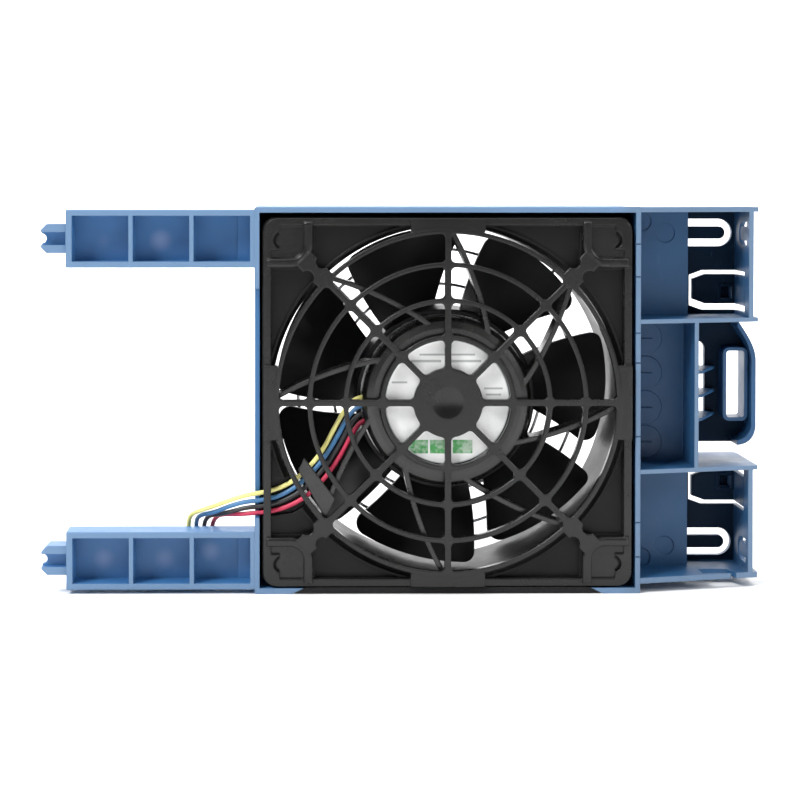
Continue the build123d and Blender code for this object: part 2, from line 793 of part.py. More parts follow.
def fan_housing():
    """Fan frame: two flanges joined by the barrel."""
    body = flange(fan_front, fan_front + flange_thickness, fan_front - 1)
    body += flange(fan_back - flange_thickness, fan_back, fan_back - flange_recess)
    body += rod(bore_radius + barrel_wall, fan_front, fan_back)
    body -= rod(bore_radius, fan_front - 1, fan_back + 1)
    wide = bore_radius + bore_chamfer
    for face, inward in ((fan_front, 1), (fan_back, -1)):
        body -= turned([(0, face - inward), (wide + 1, face - inward), (wide, face),
                        (bore_radius, face + inward * 2 * bore_chamfer),
                        (0, face + inward * 2 * bore_chamfer)])
    for x, z in hole_places():
        body -= rod(fan_hole_diameter / 2, fan_front - 1, fan_back + 1, x, z)
    return body - wire_notch()


def vane_outline():
    """Bowed strip from the barrel in to the motor's ring, for the vane at angle zero."""
    outer = polar(bore_radius + 1.0, 0)
    inner = polar(vane_inner_radius, -vane_twist)
    middle = ((outer[0] + inner[0]) / 2, (outer[1] + inner[1]) / 2)
    along = (outer[0] - inner[0], outer[1] - inner[1])
    length = math.hypot(*along)
    normal = (along[1] / length, -along[0] / length)
    half = vane_thickness / 2

    def shifted(point, amount):
        return point[0] + normal[0] * amount, point[1] + normal[1] * amount

    near = ThreePointArc(shifted(outer, -half), shifted(middle, vane_bow - half),
                         shifted(inner, -half))
    far = ThreePointArc(shifted(inner, half), shifted(middle, vane_bow + half),
                        shifted(outer, half))
    return make_face(near + Line(near @ 1, far @ 0) + far + Line(far @ 1, near @ 0))


def motor_mount():
    """Ring and plate that carry the motor, eight vanes and the guide over the wires."""
    ring_front = mount_front - mount_ring_rise
    body = turned([
        (0, mount_front + label_thickness),
        (label_radius + label_clearance, mount_front + label_thickness),
        (mount_ring_inner, ring_front + mount_ring_bevel_drop),
        (mount_ring_inner + mount_ring_bevel, ring_front),
        (mount_radius - mount_ring_shoulder, ring_front),
        (mount_radius - mount_ring_edge, ring_front + mount_ring_edge_drop),
        (mount_radius, ring_front + mount_ring_side_drop), (mount_radius, mount_back),
        (mount_radius - mount_wall, mount_back), (mount_radius - mount_wall, plate_back),
        (0, plate_back)])
    for index in range(vane_count):
        strip = Pos(0, axis_z) * vane_outline()
        vane = plate(strip, mount_front, mount_front + vane_depth)
        vane -= rod(mount_radius - mount_wall / 2, plate_back, fan_back)
        body += about_axis(vane, index * 360 / vane_count)
    inside = rod(bore_radius, fan_front - 5, fan_back + 5)
    body = body & inside
    body -= exit_slot()
    for index in range(3):
        x, z = polar(board_boss_pitch_radius, 120 * index + 90)
        body += rod(board_boss_radius, plate_back - 0.1, board_front, x, axis_z + z)
    return body + wire_guide()


def exit_slot():
    """Slot in the mount's side wall where the lead wires come out."""
    reach = mount_radius + 1
    span = (exit_angle_low + exit_angle_high) / 2
    half = (exit_angle_high - exit_angle_low) / 2
    wedge = make_face(Polyline(
        (0, 0), polar(reach / math.cos(math.radians(half)), span - half),
        polar(reach / math.cos(math.radians(half)), span + half), close=True))
    lead_y = lead_routes["wire_yellow"][0][1]
    slot = plate(Pos(0, axis_z) * wedge, lead_y - exit_height / 2, lead_y + exit_height / 2)
    return slot - rod(mount_radius - mount_wall - 0.5, fan_front, fan_back)


def wire_guide():
    """Thin plate on the lower left vane that holds the wires down."""
    corners = [polar(bore_radius - inset, angle)
               for inset, angle in zip(guide_insets, guide_angles)]
    outline = Pos(0, axis_z) * make_face(Polyline(*corners, close=True))
    y0 = mount_front - guide_rise
    return plate(outline, y0, y0 + guide_thickness)


def motor_label():
    """Round blank label in the mount's recess."""
    return rod(label_radius, mount_front, mount_front + label_thickness)


def guard_cell(inner, outer):
    """Opening of the guard between two rings and the first two spokes."""
    half = guard_spoke_width / 2
    step = 360 / guard_spoke_count
    ring = Circle(outer) - Circle(inner)
    reach = outer * 2
    apex = half / math.sin(math.radians(step / 2))
    tip = polar(apex, step / 2)
    wedge = make_face(Polyline(
        tip, (tip[0] + reach, tip[1]),
        (tip[0] + reach * math.cos(math.radians(step)), tip[1] + reach * math.sin(
            math.radians(step))), close=True))
    cell = ring & wedge
    return fillet(cell.vertices(), guard_fillet)


def guard_grid():
    """Hub, rings and spokes of the front guard."""
    disc = Circle(guard_ring_outer + guard_ring_width / 2)
    inner = guard_hub_radius
    for share in guard_ring_shares:
        radius = guard_hub_radius + share * (guard_ring_outer - guard_hub_radius)
        cell = guard_cell(inner, radius - guard_ring_width / 2)
        inner = radius + guard_ring_width / 2
        for index in range(guard_spoke_count):
            disc -= Rot(0, 0, index * 360 / guard_spoke_count) * cell
    return disc


def guard_frame():
    """Outline of the thin square frame behind the guard's grid."""
    frame = fan_square(2 * guard_half, fan_corner_radius)
    return frame - Pos(0, axis_z) * Rectangle(
        2 * (guard_half - guard_bar), 2 * (guard_half - guard_bar))


def guard_corner(sx, sz):
    """Corner's thin plate, its raised outer piece and the slot around its snap pin."""
    leg_end = guard_half - guard_plate + guard_leg_width / 2
    square = guard_half - leg_end
    middle = leg_end + square / 2
    corner = fan_square(2 * guard_half, fan_corner_radius)
    sheet = corner & (Pos(sx * middle, axis_z + sz * middle) * Rectangle(square, square))
    body = plate(sheet, fan_front - guard_plate_thickness, fan_front)
    across = guard_half - guard_corner_width / 2
    along = guard_half - guard_corner_height / 2
    raised = corner & (Pos(sx * across, axis_z + sz * along) * Rectangle(
        guard_corner_width, guard_corner_height))
    body += plate(raised, fan_front - guard_frame_thickness, fan_front)
    place = Pos(sx * (hole_offset + guard_slot_shift), axis_z + sz * hole_offset)
    slot_outer = guard_slot_radius + guard_slot_width
    body -= plate(place * Circle(slot_outer), fan_front - guard_rise,
                  fan_front - guard_plate_thickness)
    reach = 3 * guard_slot_radius
    spread = reach * math.tan(math.radians(guard_slot_angle / 2))
    wedge = make_face(Polyline((0, 0), (sx * reach, spread), (sx * reach, -spread), close=True))
    ring = Circle(slot_outer) - Circle(guard_slot_radius)
    body -= plate(place * (ring & wedge), fan_front - guard_rise, fan_front + 1)
    return body + rod(fan_hole_diameter / 2 - guard_pin_clearance,
                      fan_front - guard_plate_thickness, fan_front + guard_pin_length,
                      sx * hole_offset, axis_z + sz * hole_offset)


def guard_leg(sx, sz):
    """Raised ridge that turns around one corner plate, with a rounded top."""
    near = guard_half - guard_plate
    size = 4 * guard_plate
    outer_corner = guard_leg_corner + guard_leg_width

    def corner_square(start, radius):
        centre = start + size / 2
        return Pos(sx * centre, axis_z + sz * centre) * RectangleRounded(size, size, radius)

    outline = corner_square(near, outer_corner)
    outline -= corner_square(near + guard_leg_width, guard_leg_corner)
    reach = 2 * (guard_half - guard_leg_inset)
    outline = outline & (Pos(0, axis_z) * Rectangle(reach, reach))
    front = fan_front - guard_rise + guard_leg_drop
    body = plate(outline, front, fan_front)
    rims = body.faces().sort_by(Axis.Y)[0].edges()
    return fillet(rims, guard_leg_round)


def guard_neck():
    """Waisted bridge from the outer ring to a corner's ridge, at angle zero."""
    ring_edge = guard_ring_outer + guard_ring_width / 2
    leg_centre = (guard_half - guard_plate + guard_leg_corner + guard_leg_width) * math.sqrt(2)
    leg_face = leg_centre - guard_leg_corner - guard_leg_width
    middle = (ring_edge + leg_face) / 2 + guard_ring_width / 4
    half = (guard_neck_width + 2 * guard_neck_round) / 2 - guard_leg_round / 2
    low, high = ring_edge - guard_ring_width, leg_face + guard_leg_width / 2
    shape = Pos((low + high) / 2, 0) * Rectangle(high - low, 2 * half)
    for side in (-1, 1):
        shift = side * (guard_neck_width / 2 + guard_neck_round)
        shape -= Pos(middle, shift) * Circle(guard_neck_round)
    return shape


def front_guard():
    """Snap-on finger guard: thin square frame, corner plates, ridges and a raised grid."""
    grid_y = fan_front - guard_rise
    leg_y = grid_y + guard_leg_drop
    body = plate(guard_frame(), fan_front - guard_frame_thickness, fan_front)
    for sx in (-1, 1):
        for sz in (-1, 1):
            body += guard_corner(sx, sz)
            body += guard_leg(sx, sz)
    shift = guard_half - guard_tab_width / 2
    tab = plate(Pos(0, axis_z + shift) * Rectangle(guard_tab_length, guard_tab_width),
                leg_y, fan_front)
    for index in range(4):
        body += about_axis(tab, index * 90)
    grid = guard_grid()
    for index in range(4):
        grid += Rot(0, 0, 45 + index * 90) * guard_neck()
    body += plate(Pos(0, axis_z) * grid, grid_y, grid_y + guard_grid_thickness)
    ball_radius = (guard_dimple_radius ** 2 + guard_dimple_depth ** 2) / (2 * guard_dimple_depth)
    return body - Pos(0, grid_y + guard_dimple_depth - ball_radius, axis_z) * Sphere(ball_radius)


def blade():
    """One rotor blade at angle zero, trimmed to its outline from the front."""
    y0 = hub_front + blade_front_gap
    y1 = fan_back - blade_back_gap - hub_back_gap
    root = hub_radius - hub_wall / 2
    share = 360 / blade_count

    def half_angle(radius):
        return (share - math.degrees(blade_gap / radius)) / 2

    def sweep(radius):
        middle = (hub_radius + blade_tip_radius) / 2
        return -blade_sweep * (radius - middle) / (blade_tip_radius - hub_radius)

    def section(radius):
        half = radius * math.tan(math.radians(half_angle(radius) + 2.5))
        lean = radius * math.tan(math.radians(sweep(radius)))
        start, end = (lean - half, y1), (lean + half, y0)
        length = math.hypot(end[0] - start[0], end[1] - start[1])
        normal = ((end[1] - start[1]) / length, -(end[0] - start[0]) / length)
        middle = ((start[0] + end[0]) / 2, (start[1] + end[1]) / 2)
        t = blade_thickness / 2

        def moved(point, amount):
            return point[0] + normal[0] * amount, point[1] + normal[1] * amount

        one = ThreePointArc(moved(start, t), moved(middle, t - blade_camber), moved(end, t))
        two = ThreePointArc(moved(end, -t), moved(middle, -t - blade_camber), moved(start, -t))
        face = make_face(one + Line(one @ 1, two @ 0) + two + Line(two @ 1, one @ 0))
        plane = Plane(origin=(radius, 0, axis_z), x_dir=(0, 0, 1), z_dir=(-1, 0, 0))
        return plane * face

    reach = blade_tip_radius + 4
    sheet = loft([section(root - 4), section((root + reach) / 2), section(reach)])
    return sheet & blade_trim(root, half_angle, sweep)


def blade_trim(root, half_angle, sweep):
    """Prism that gives a blade its outline seen along the axis, with rounded tip corners."""
    middle = (root + blade_tip_radius) / 2

    def edge(side):
        return Spline(*[polar(r, sweep(r) + side * half_angle(r))
                        for r in (root, middle, blade_tip_radius)])

    low, high = edge(-1), edge(1)
    tip = ThreePointArc(low @ 1, polar(blade_tip_radius, sweep(blade_tip_radius)), high @ 1)
    base = ThreePointArc(high @ 0, polar(root, sweep(root)), low @ 0)
    outline = make_face(low + tip + high + base)
    corners = [v for v in outline.vertices()
               if math.hypot(v.X, v.Y) > blade_tip_radius - 0.5]
    outline = fillet(corners, blade_tip_fillet)
    return plate(Pos(0, axis_z) * outline, fan_front, fan_back)


def impeller():
    """Hub cup with seven blades."""
    inner = yoke_outer
    body = turned([
        (inner, hub_front), (hub_radius - 0.4, hub_front), (hub_radius, hub_front + 0.4),
        (hub_radius, hub_back - 1.4), (hub_radius - 1.4, hub_back), (0, hub_back),
        (0, yoke_back), (inner, yoke_back)])
    one = blade()
    for index in range(blade_count):
        turn = blade_phase + index * 360 / blade_count
        body += about_axis(one, turn) - rod(inner + 0.01, fan_front, yoke_back)
    return body


def rotor_yoke():
    """Steel cup inside the hub."""
    return turned([
        (magnet_outer, hub_front + 0.8), (yoke_outer, hub_front + 0.8), (yoke_outer, yoke_back),
        (shaft_radius, yoke_back), (shaft_radius, yoke_plate), (magnet_outer, yoke_plate)])


def magnet_ring():
    """Ring magnet in the yoke."""
    start = hub_front + 1.6
    return tube(magnet_outer, magnet_inner, start, start + magnet_length)


def rotor_bushing():
    """Boss that joins the shaft to the yoke."""
    return tube(bushing_radius, shaft_radius, yoke_plate - bushing_length, yoke_plate)


def shaft():
    """Rotor shaft with a groove for its retaining ring."""
    start = front_bearing_y - 1.3
    body = rod(shaft_radius, start, yoke_back)
    groove_y = front_bearing_y - ring_thickness - 0.1
    return body - tube(shaft_radius + 1, shaft_radius - groove_depth, groove_y,
                       groove_y + ring_thickness)


def retaining_ring():
    """Open ring in the shaft's groove, in front of the front bearing."""
    groove_y = front_bearing_y - ring_thickness - 0.1
    body = tube(ring_radius, shaft_radius - groove_depth, groove_y, groove_y + ring_thickness)
    return body - block(-0.9, 0.9, groove_y - 1, groove_y + 1, axis_z, axis_z + ring_radius + 1)


def bearing_places():
    """Front and back of each of the two bearings."""
    return [(y, y + bearing_width) for y in (front_bearing_y, rear_bearing_y)]


def bearing_outer_races():
    """Outer rings of both bearings."""
    inner = bearing_outer_radius - bearing_race
    return [tube(bearing_outer_radius, inner, y0, y1) - race_groove(y0, y1)
            for y0, y1 in bearing_places()]


def bearing_inner_races():
    """Inner rings of both bearings, on the shaft."""
    outer = shaft_radius + bearing_race
    return [tube(outer, shaft_radius, y0, y1) - race_groove(y0, y1)
            for y0, y1 in bearing_places()]


def race_groove(y0, y1):
    """Ring that the balls run in, with their clearance."""
    pitch = (bearing_outer_radius + shaft_radius) / 2
    circle = Pos(pitch, (y0 + y1) / 2) * Circle(ball_radius + ball_gap)
    return Pos(0, 0, axis_z) * revolve(circle, Axis.Y)


def bearing_balls():
    """Balls of both bearings."""
    pitch = (bearing_outer_radius + shaft_radius) / 2
    balls = []
    for y0, y1 in bearing_places():
        for index in range(ball_count):
            x, z = polar(pitch, index * 360 / ball_count)
            balls.append(Pos(x, (y0 + y1) / 2, axis_z + z) * Sphere(ball_radius))
    return balls


def bearing_tube():
    """Tube that holds both bearings and carries the stator."""
    end = plate_back + tube_length
    body = tube(tube_outer, bearing_outer_radius, plate_back, end)
    front_stop = front_bearing_y + bearing_width
    return body + tube(bearing_outer_radius + 0.1, bearing_outer_radius - bearing_race / 2,
                       front_stop, rear_bearing_y)


def preload_washer():
    """Conical spring washer between the rear bearing and the rotor's boss."""
    y0 = rear_bearing_y + bearing_width
    y1 = yoke_plate - bushing_length
    inner, outer = shaft_radius + 0.05, shaft_radius + bearing_race
    t = washer_thickness
    return turned([(inner, y1 - t), (inner, y1), (inner + 0.4, y1), (outer, y0 + t),
                   (outer, y0), (outer - 0.4, y0)])


def core_outline():
    """Stator lamination: hub ring, four teeth and their curved shoes."""
    shape = Circle(tube_outer + core_ring)
    for index in range(core_teeth):
        turn = Rot(0, 0, index * 360 / core_teeth)
        reach = core_radius - shoe_thickness / 2
        shape += turn * Pos(reach / 2, 0) * Rectangle(reach, tooth_width)
        ring = Circle(core_radius) - Circle(core_radius - shoe_thickness)
        far = 2 * core_radius
        spread = far * math.tan(math.radians(shoe_angle / 2))
        wedge = make_face(Polyline((0, 0), (far, spread), (far, -spread), close=True))
        shape += turn * (ring & wedge)
    return shape - Circle(tube_outer)


def stator_core():
    """Stack of laminations on the bearing tube."""
    return plate(Pos(0, axis_z) * core_outline(), core_front, core_back)


def stator_insulator():
    """Two plastic end plates over the laminations."""
    outline = Pos(0, axis_z) * (core_outline() & Circle(core_radius - shoe_thickness / 2))
    return [plate(outline, core_front - insulator_thickness, core_front),
            plate(outline, core_back, core_back + insulator_thickness)]


def stator_coils():
    """Copper winding on each tooth."""
    start = tube_outer + core_ring + 1.2
    end = math.sqrt((core_radius - shoe_thickness) ** 2 - (coil_width / 2) ** 2) - 0.3
    low = core_front - insulator_thickness - coil_gap
    high = core_back + insulator_thickness + coil_gap
    half = tooth_width / 2 + coil_gap
    one = block(start, end, low - coil_end, high + coil_end, axis_z - coil_width / 2,
                axis_z + coil_width / 2)
    one = fillet(one.edges().filter_by(Axis.X), 1.5)
    one -= block(start - 1, end + 1, low, high, axis_z - half, axis_z + half)
    return [about_axis(one, index * 360 / core_teeth) for index in range(core_teeth)]


def circuit_board():
    """Round board behind the mount's plate."""
    return tube(board_radius, board_hole_radius, board_front, board_back)


def board_components():
    """Driver chip, position sensor, capacitors and resistors on the board."""
    pieces = []
    for angle, place, size in zip(component_angles, component_insets, component_sizes):
        width, height, tall = size
        x, z = polar(board_radius - place, angle)
        pieces.append(block(x - width / 2, x + width / 2, board_back, board_back + tall,
                            axis_z + z - height / 2, axis_z + z + height / 2))
    return pieces


def rear_guard():
    """Wire guard behind the fan: three rings on two crossed wires with eyelets."""
    radius = wire_guard_diameter / 2
    ring_y = fan_back + radius + wire_guard_diameter - weld_overlap
    cross_y = fan_back + radius
    body = None
    for index in range(rear_ring_count):
        ring = bore_radius - rear_ring_inset - index * rear_ring_pitch
        circle = Pos(ring, ring_y) * Circle(radius)
        piece = Pos(0, 0, axis_z) * revolve(circle, Axis.Y)
        body = piece if body is None else body + piece
    length = 2 * (hole_offset * math.sqrt(2) - eyelet_radius)
    cross = Pos(0, cross_y, axis_z) * Rot(0, 90, 0) * Cylinder(radius, length)
    hub = rod(radius * 3, cross_y - radius, cross_y + radius)
    for turn in (45, 135):
        body += about_axis(cross, turn)
    body += hub
    for x, z in hole_places():
        loop = revolve(Pos(eyelet_radius, 0) * Circle(radius), Axis.Y)
        body += Pos(x, cross_y, z) * loop
    return body


def rear_guard_screws():
    """Four self-tapping screws through the guard's eyelets into the rear flange."""
    head_y = fan_back + wire_guard_diameter
    screws = []
    for x, z in hole_places():
        screw = rod(fan_hole_diameter / 2 - screw_clearance, head_y - screw_length, head_y, x, z)
        head = rod(screw_head_radius, head_y, head_y + screw_head_height, x, z)
        rims = head.edges().filter_by(GeomType.CIRCLE).sort_by(Axis.Y)
        head = chamfer(rims[-1], screw_head_bevel)
        slot_y = head_y + screw_head_height - screw_slot_depth
        for turned_slot in (False, True):
            length, width = screw_slot_length / 2, screw_slot_width / 2
            if turned_slot:
                length, width = width, length
            head -= block(x - length, x + length, slot_y, head_y + screw_head_height + 1,
                          z - width, z + width)
        screws.append(screw + head)
    return screws


def lead(points):
    """Lead wire: straight runs joined by arcs as large as the runs allow."""
    vectors = [Vector(*point) for point in points]
    radii = []
    for before, corner, after in zip(vectors, vectors[1:], vectors[2:]):
        run_in, run_out = corner - before, after - corner
        turn = math.radians(run_in.get_angle(run_out))
        radii.append(0.45 * min(run_in.length, run_out.length) / math.tan(turn / 2))
    path = FilletPolyline(*vectors, radius=radii)
    section = Plane(origin=path @ 0, z_dir=path % 0) * Circle(lead_radius)
    solid = sweep(section, path=path)
    expected = math.pi * lead_radius ** 2 * path.length
    return solid, radii, path.length, solid.volume / expected


def connector_housing():
    """Four-way plug housing, lying on the floor behind the lower arm."""
    half = 2 * connector_pitch + connector_wall / 2
    x1 = connector_x + connector_length
    body = block(connector_x, x1, connector_y - half, connector_y + half, 0, connector_height)
    body = fillet(body.edges().filter_by(Axis.X), 0.5)
    for index in range(4):
        y = connector_y + (index - 1.5) * connector_pitch
        cavity = terminal_size / 2 + terminal_gap
        body -= block(connector_x + connector_wall, x1 + 1, y - cavity, y + cavity,
                      connector_height / 2 - cavity, connector_height / 2 + cavity)
    key = block(connector_x + 1, x1 - 2, connector_y - half + 1.5, connector_y + half - 1.5,
                connector_height - 0.1, connector_height + 0.9)
    return body + key


def connector_terminals():
    """Four crimped terminals in the plug."""
    start = connector_x + connector_wall + terminal_gap
    size = terminal_size / 2
    pieces = []
    for index in range(4):
        y = connector_y + (index - 1.5) * connector_pitch
        body = block(start, start + terminal_length, y - size, y + size,
                     connector_height / 2 - size, connector_height / 2 + size)
        body -= block(start + 1.5, start + terminal_length + 1, y - size / 2, y + size / 2,
                      connector_height / 2 - size / 2, connector_height / 2 + size / 2)
        pieces.append(body)
    return pieces


def write(name, shape):
    """Writes one node as a STEP file."""
    if isinstance(shape, list):
        shape = Compound(children=[piece.solids()[0] for piece in shape])
    export_step(shape, f"parts/{name}.step")


os.makedirs("parts", exist_ok=True)

nodes = {
    "carrier_frame": carrier_frame(),
    "bottom_seal": bottom_seal(),
    "upper_arm": arm(upper_arm_base),
    "lower_arm": arm(lower_arm_base),
    "upper_locating_pin": locating_pin(upper_arm_base),
    "lower_locating_pin": locating_pin(lower_arm_base),
    "upper_latch_bay": latch_bay(True),
    "lower_latch_bay": latch_bay(False),
    "upper_release_tab": release_tab(True),
    "lower_release_tab": release_tab(False),
    "upper_spring_finger": spring_finger(True),
    "lower_spring_finger": spring_finger(False),
    "finger_bay": finger_bay(),
    "handle_grip": handle_grip(),
    "fan_housing": fan_housing(),
    "motor_mount": motor_mount(),
    "motor_label": motor_label(),
    "front_guard": front_guard(),
    "impeller": impeller(),
    "rotor_yoke": rotor_yoke(),
    "magnet_ring": magnet_ring(),
    "rotor_bushing": rotor_bushing(),
    "shaft": shaft(),
    "retaining_ring": retaining_ring(),
    "preload_washer": preload_washer(),
    "bearing_inner_races": bearing_inner_races(),
    "bearing_outer_races": bearing_outer_races(),
    "bearing_balls": bearing_balls(),
    "bearing_tube": bearing_tube(),
    "stator_core": stator_core(),
    "stator_insulator": stator_insulator(),
    "stator_coils": stator_coils(),
    "circuit_board": circuit_board(),
    "board_components": board_components(),
    "rear_guard": rear_guard(),
    "rear_guard_screws": rear_guard_screws(),
    "connector_housing": connector_housing(),
    "connector_terminals": connector_terminals(),
}

for name, route in lead_routes.items():
    nodes[name], bends, length, ratio = lead(route)
    print(name, "length", round(length, 1), "volume ratio", round(ratio, 4),
          "radii", [round(bend, 1) for bend in bends])

for name, shape in nodes.items():
    write(name, shape)
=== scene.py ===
"""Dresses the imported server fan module: camera, leads, procedural materials and soft light."""

import json
import math

import bpy
from mathutils import Euler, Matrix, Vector


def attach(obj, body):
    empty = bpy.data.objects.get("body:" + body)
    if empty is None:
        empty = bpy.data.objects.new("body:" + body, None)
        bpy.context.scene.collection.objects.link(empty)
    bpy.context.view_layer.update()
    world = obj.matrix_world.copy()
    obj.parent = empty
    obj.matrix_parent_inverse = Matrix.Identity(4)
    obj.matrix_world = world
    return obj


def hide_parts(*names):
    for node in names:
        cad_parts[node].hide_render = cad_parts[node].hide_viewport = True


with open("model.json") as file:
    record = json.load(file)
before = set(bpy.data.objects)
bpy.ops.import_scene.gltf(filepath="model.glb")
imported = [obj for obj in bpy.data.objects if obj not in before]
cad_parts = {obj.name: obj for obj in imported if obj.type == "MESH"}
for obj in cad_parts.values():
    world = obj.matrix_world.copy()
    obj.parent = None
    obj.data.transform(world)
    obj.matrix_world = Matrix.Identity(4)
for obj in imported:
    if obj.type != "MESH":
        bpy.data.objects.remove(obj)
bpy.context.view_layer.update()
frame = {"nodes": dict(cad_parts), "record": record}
nodes = frame["nodes"]
MM = 0.001
AXIS_Z = 62.1


# Camera, at the photograph's viewing point
FOCAL_PIXELS = 1695.86
FRAME_PIXELS = 800
CAMERA_PLACE = (-0.05131, -0.56804, 0.13246)
CAMERA_YAW = 0.5
CAMERA_PITCH = 0.9
CAMERA_SHIFT = (0.1201, -0.2356)


def make_camera():
    """Camera with the photograph's place, slight turn, focal length and lens shift."""
    data = bpy.data.cameras.new("camera")
    camera = bpy.data.objects.new("camera", data)
    bpy.context.scene.collection.objects.link(camera)
    camera.location = CAMERA_PLACE
    camera.rotation_euler = Euler(
        (math.radians(90 - CAMERA_PITCH), 0, math.radians(-CAMERA_YAW)), "XYZ")
    data.sensor_width = 36.0
    data.lens = data.sensor_width * FOCAL_PIXELS / FRAME_PIXELS
    data.shift_x, data.shift_y = CAMERA_SHIFT
    data.clip_start = 0.01
    bpy.context.scene.camera = camera


make_camera()

# Leads: the same points as the solids, in millimetres
LEADS = {
    "wire_yellow": [
        (-24.0, -15.4, 63.6), (-28.6, -15.4, 63.4), (-32.3, -15.8, 60.5), (-35.9, -16.4, 54.6),
        (-40.6, -17.0, 45.4), (-46.7, -17.5, 38.6), (-52.1, -17.8, 34.8), (-58.1, -17.8, 32.7),
        (-64.6, -17.6, 31.7), (-69.9, -17.0, 30.1), (-75.2, -16.0, 27.9), (-80.4, -14.0, 25.9),
        (-84.0, -10.2, 23.8), (-84.8, -7.8, 19.2), (-84.3, -7.3, 12.6), (-85.8, -7.4, 6.2),
        (-90.4, -7.7, 1.7), (-97.0, -7.9, 0.8), (-105.6, -7.6, 0.8), (-113.6, -7.8, 0.8),
        (-121.0, -0.2, 0.8), (-121.4, 10.5, 0.8), (-113.9, 18.2, 0.8), (-105.5, 18.4, 0.8),
        (-98.0, 18.1, 0.8), (-91.6, 18.31, 2.75), (-86.0, 18.31, 2.75),
    ],
    "wire_blue": [
        (-23.9, -15.4, 61.2), (-28.4, -15.4, 60.6), (-32.2, -15.8, 57.0), (-36.5, -16.5, 48.6),
        (-41.8, -17.2, 40.9), (-47.9, -17.6, 35.0), (-53.8, -17.8, 31.4), (-60.0, -17.8, 29.9),
        (-65.6, -17.5, 29.4), (-70.7, -16.4, 27.8), (-75.6, -15.0, 25.5), (-79.8, -12.0, 24.2),
        (-82.0, -8.0, 22.2), (-82.2, -5.8, 17.6), (-81.7, -5.3, 11.5), (-83.3, -5.5, 5.6),
        (-87.8, -5.8, 1.5), (-94.0, -6.0, 0.8), (-102.5, -5.6, 0.8), (-110.8, -5.9, 0.8),
        (-117.2, 0.4, 0.8), (-117.5, 9.4, 0.8), (-111.2, 15.8, 0.8), (-104.2, 15.9, 0.8),
        (-97.6, 15.6, 0.8), (-91.4, 15.77, 2.75), (-86.0, 15.77, 2.75),
    ],
    "wire_black": [
        (-23.8, -15.4, 58.9), (-28.2, -15.4, 58.0), (-31.3, -15.8, 54.4), (-35.5, -16.5, 46.5),
        (-40.6, -17.2, 39.2), (-46.4, -17.6, 33.5), (-52.6, -17.8, 29.8), (-59.4, -17.8, 28.0),
        (-65.7, -17.4, 27.4), (-70.5, -16.0, 25.8), (-74.5, -13.0, 24.4), (-77.8, -9.6, 23.4),
        (-79.6, -6.0, 20.4), (-79.6, -3.9, 15.4), (-79.2, -3.3, 9.8), (-80.9, -3.5, 4.5),
        (-85.4, -3.8, 1.2), (-91.5, -4.0, 0.8), (-99.8, -3.6, 0.8), (-107.8, -3.9, 0.8),
        (-112.8, 1.2, 0.8), (-113.2, 8.2, 0.8), (-108.2, 13.4, 0.8), (-102.8, 13.5, 0.8),
        (-97.2, 13.1, 0.8), (-91.2, 13.23, 2.75), (-86.0, 13.23, 2.75),
    ],
    "wire_red": [
        (-23.5, -15.4, 56.8), (-27.6, -15.4, 55.7), (-30.6, -15.8, 51.8), (-34.3, -16.5, 44.5),
        (-38.9, -17.2, 37.9), (-44.4, -17.6, 32.0), (-50.6, -17.8, 28.2), (-57.4, -17.8, 26.1),
        (-63.5, -17.4, 25.6), (-68.2, -15.7, 24.9), (-71.8, -12.3, 24.4), (-75.2, -8.8, 23.2),
        (-77.0, -4.8, 19.6), (-77.1, -2.0, 14.4), (-76.8, -1.4, 8.8), (-78.8, -1.5, 3.8),
        (-83.4, -1.8, 1.0), (-89.2, -2.1, 0.8), (-97.0, -1.6, 0.8), (-104.2, -1.9, 0.8),
        (-108.1, 2.0, 0.8), (-108.4, 7.1, 0.8), (-104.6, 11.0, 0.8), (-97.4, 10.5, 0.8),
        (-91.0, 10.69, 2.75), (-86.0, 10.69, 2.75),
    ],
}
LEAD_DIAMETER = 1.5


def make_lead(name, points):
    """One lead as a smooth curve through the route's control points."""
    data = bpy.data.curves.new(name + "_lead", "CURVE")
    data.dimensions = "3D"
    data.bevel_depth = 1.0
    data.bevel_resolution = 5
    data.resolution_u = 10
    data.use_fill_caps = True
    spline = data.splines.new("NURBS")
    spline.points.add(len(points) - 1)
    for control, point in zip(spline.points, points):
        control.co = (point[0] * MM, point[1] * MM, point[2] * MM, 1.0)
        control.radius = LEAD_DIAMETER / 2 * MM
    spline.order_u = 3
    spline.use_endpoint_u = True
    lead = bpy.data.objects.new(name + "_lead", data)
    bpy.context.scene.collection.objects.link(lead)
    return lead


leads = {name: make_lead(name, points) for name, points in LEADS.items()}
for name, lead in leads.items():
    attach(lead, "carrier")
    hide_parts(name)


# Label: its rim's inner radius, and shapes in metres from its centre: left, right, low, high
LABEL_RIM = 0.01985
LABEL_GREEN = [
    (-0.0138, -0.0062, -0.0168, -0.0124), (-0.0056, 0.0012, -0.0168, -0.0124),
    (0.0018, 0.0082, -0.0168, -0.0124), (-0.0196, -0.0118, -0.0003, 0.0003)]
LABEL_GREY = [
    (-0.0090, 0.0090, 0.0150, 0.0156), (-0.0118, -0.0020, 0.0128, 0.0136),
    (0.0010, 0.0110, 0.0128, 0.0136), (0.0120, 0.0180, 0.0040, 0.0046),
    (0.0125, 0.0175, 0.0020, 0.0026), (-0.0180, -0.0130, 0.0060, 0.0066)]


# Materials
def srgb(r, g, b):
    """Linear colour from 8-bit screen values."""
    def channel(v):
        v /= 255
        return v / 12.92 if v <= 0.04045 else ((v + 0.055) / 1.055) ** 2.4
    return channel(r), channel(g), channel(b), 1.0


